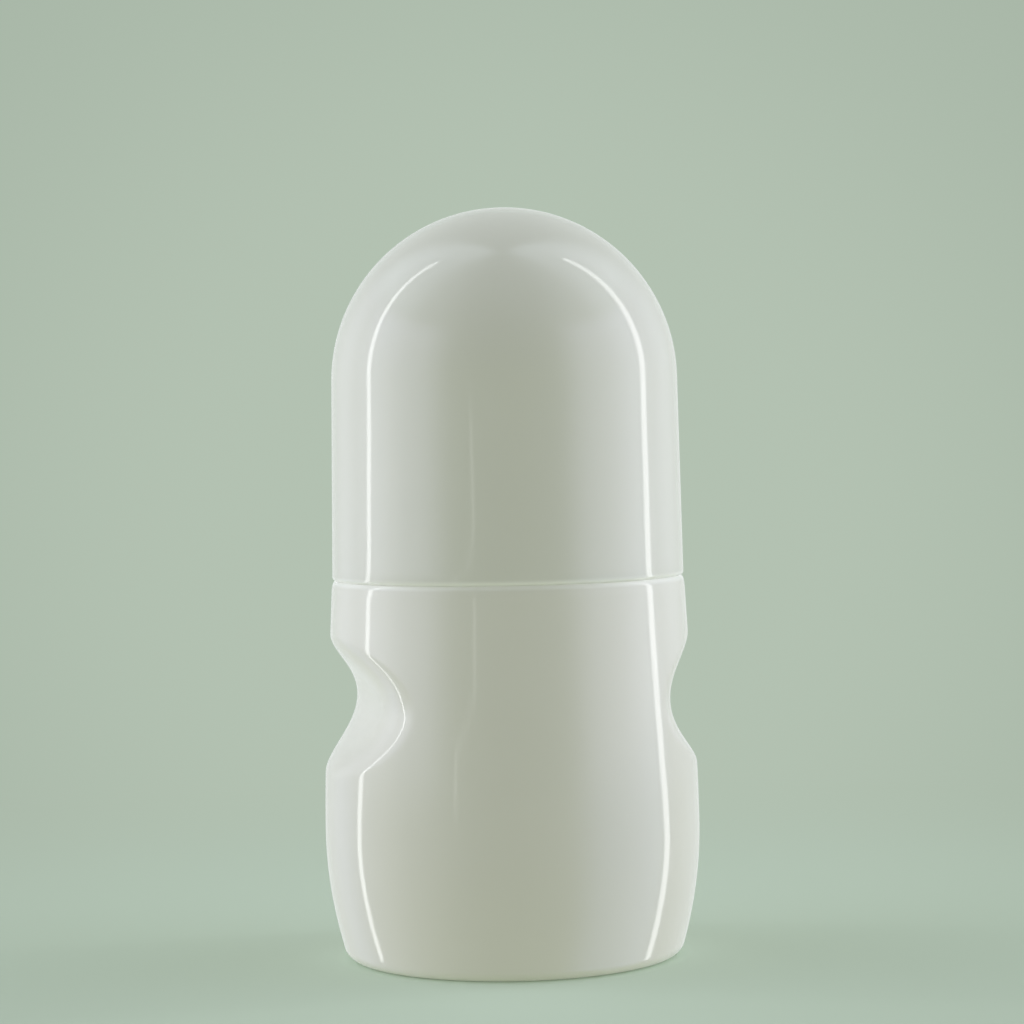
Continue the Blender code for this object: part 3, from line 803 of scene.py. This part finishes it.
def light_sheet(name, middle_line, half_width, distance, levels, strength, colour, end_fade):
    """A curved sheet of light round the object, which the camera doesn't see.

    Its levels run across it, and it fades over a share of its height at both its ends.
    """
    points, glow, faces = [], [], []
    heights, middles = zip(*middle_line)
    for up_share in np.linspace(0, 1, LIGHT_ROWS + 1):
        height = heights[0] + (heights[-1] - heights[0]) * up_share
        middle = float(np.interp(height, heights, middles))
        height = math.radians(height)
        end = min(1, up_share / end_fade, (1 - up_share) / end_fade) if end_fade else 1
        for across_share in np.linspace(0, 1, LIGHT_COLUMNS + 1):
            angle = math.radians(middle + half_width * (2 * across_share - 1))
            across, up = distance * math.cos(height), distance * math.sin(height)
            points.append(turned_to_camera(across * math.sin(angle), -across * math.cos(angle), up))
            glow.append(eased(levels, across_share) * math.sin(end * QUARTER) ** 2)
    row_points = LIGHT_COLUMNS + 1
    for row in range(LIGHT_ROWS):
        for column in range(LIGHT_COLUMNS):
            corner = row * row_points + column
            faces.append((corner, corner + 1, corner + row_points + 1, corner + row_points))
    mesh = bpy.data.meshes.new(name)
    mesh.from_pydata(points, [], faces)
    mesh.attributes.new("glow", "FLOAT", "POINT").data.foreach_set("value", glow)
    material = bpy.data.materials.new(name)
    nodes = cleared_nodes(material)
    level = nodes.add("ShaderNodeAttribute")
    level.attribute_name = "glow"
    scaled = nodes.maths("MULTIPLY", level.outputs["Fac"], strength)
    light = nodes.add("ShaderNodeEmission", Color=(*colour, 1), Strength=scaled)
    through = nodes.add("ShaderNodeBsdfTransparent")
    both = nodes.add("ShaderNodeAddShader")
    for socket, shader in zip(both.inputs, (light, through)):
        nodes.tree.links.new(shader.outputs[0], socket)
    nodes.add("ShaderNodeOutputMaterial", Surface=both.outputs[0])
    mesh.materials.append(material)
    sheet = placed(name, mesh)
    sheet.visible_camera = False


def backdrop_colour(nodes, direction):
    """The backdrop's colour in a direction, a little darker away from the photo's line of sight.

    That line is a direction in the world, so it doesn't follow the camera into other views.
    """
    unit = nodes.vector("NORMALIZE", direction)
    along = nodes.vector("DOT_PRODUCT", unit, tuple(-camera_back()))
    fade = nodes.smooth(nodes.maths("ARCCOSINE", along), BACKDROP_EDGE_START, BACKDROP_EDGE_END)
    return nodes.blend(fade, BACKDROP, BACKDROP_EDGE)


def add_world():
    world = bpy.data.worlds.new("studio")
    bpy.context.scene.world = world
    nodes = cleared_nodes(world)
    path = nodes.add("ShaderNodeLightPath").outputs
    direction = nodes.add("ShaderNodeTexCoord").outputs["Generated"]
    seen = nodes.maths("MAXIMUM", path["Is Camera Ray"], path["Is Transmission Ray"])
    colours = backdrop_colour(nodes, direction), (*AMBIENT, 1), (*MIRRORED, 1)
    shown, ambient, mirrored = (
        nodes.add("ShaderNodeBackground", Color=colour, Strength=1.0).outputs[0] for colour in colours
    )
    unseen = nodes.mix(path["Is Glossy Ray"], ambient, mirrored)
    nodes.add("ShaderNodeOutputWorld", Surface=nodes.mix(seen, unseen, shown))


def add_floor():
    """A round floor that takes the object's shadow near it and fades into the backdrop's colour.

    That colour is taken in the direction from the photograph's camera, as a fixed place in the world.
    Diffuse rays see the floor at an even level, mirrored rays pass through it, and the ring under the
    foot is plain paper, so that the line where the object stands stays dark.
    """
    points = [(0, 0, 0)]
    for step in range(FLOOR_SIDES):
        angle = FULL_TURN * step / FLOOR_SIDES
        points.append((FLOOR_RADIUS * math.cos(angle), FLOOR_RADIUS * math.sin(angle), 0))
    faces = [(0, step + 1, (step + 1) % FLOOR_SIDES + 1) for step in range(FLOOR_SIDES)]
    mesh = bpy.data.meshes.new("floor")
    mesh.from_pydata(points, [], faces)
    floor = placed("floor", mesh)
    material = bpy.data.materials.new("floor_paper")
    nodes = cleared_nodes(material)
    place = nodes.add("ShaderNodeTexCoord").outputs["Object"]
    from_middle = nodes.vector("LENGTH", place)
    eye = tuple(turned_to_camera(CAMERA_SIDESTEP, -CAMERA_DISTANCE, CAMERA_HEIGHT))
    far_colour = backdrop_colour(nodes, nodes.vector("SUBTRACT", place, eye))
    path = nodes.add("ShaderNodeLightPath").outputs
    fade = nodes.smooth(from_middle, FLOOR_FADE_START, FLOOR_FADE_END, 1 - FLOOR_LIT_SHARE)
    clear_of_foot = nodes.spread(from_middle, CONTACT_START, CONTACT_END)
    paper = nodes.add("ShaderNodeBsdfDiffuse", Color=(*FLOOR_COLOUR, 1)).outputs[0]
    glow = nodes.add("ShaderNodeEmission", Color=(*FLOOR_GLOW, 1), Strength=1.0).outputs[0]
    clear = nodes.add("ShaderNodeBsdfTransparent").outputs[0]
    far = nodes.add("ShaderNodeEmission", Color=far_colour, Strength=1.0).outputs[0]
    shown = nodes.mix(fade, paper, far)
    lit = nodes.mix(path["Is Diffuse Ray"], shown, glow)
    open_floor = nodes.mix(path["Is Glossy Ray"], lit, clear)
    surface = nodes.mix(clear_of_foot, paper, open_floor)
    nodes.add("ShaderNodeOutputMaterial", Surface=surface)
    mesh.materials.append(material)


for side_name, turn, low_panel in (("left", -1, LOW_LEFT_PANEL), ("right", 1, LOW_RIGHT_PANEL)):
    panel("panel_front_" + side_name, turn, *FRONT_PANEL)
    panel("panel_main_" + side_name, turn, *MAIN_PANEL)
    panel("panel_high_" + side_name, turn, *HIGH_PANEL)
    panel("panel_low_" + side_name, turn, *low_panel)
strip("strip_left", STRIP_LEFT, STRIP_LEFT_HALF_WIDTH, STRIP_LEFT_STRENGTH)
strip("strip_right", STRIP_RIGHT, STRIP_RIGHT_HALF_WIDTH, STRIP_RIGHT_STRENGTH)
strip("glint", GLINT, GLINT_HALF_WIDTH, GLINT_STRENGTH, GLINT_LEVELS, GLINT_END_FADE)
add_world()
add_floor()

bpy.context.scene.view_settings.view_transform = "Standard"
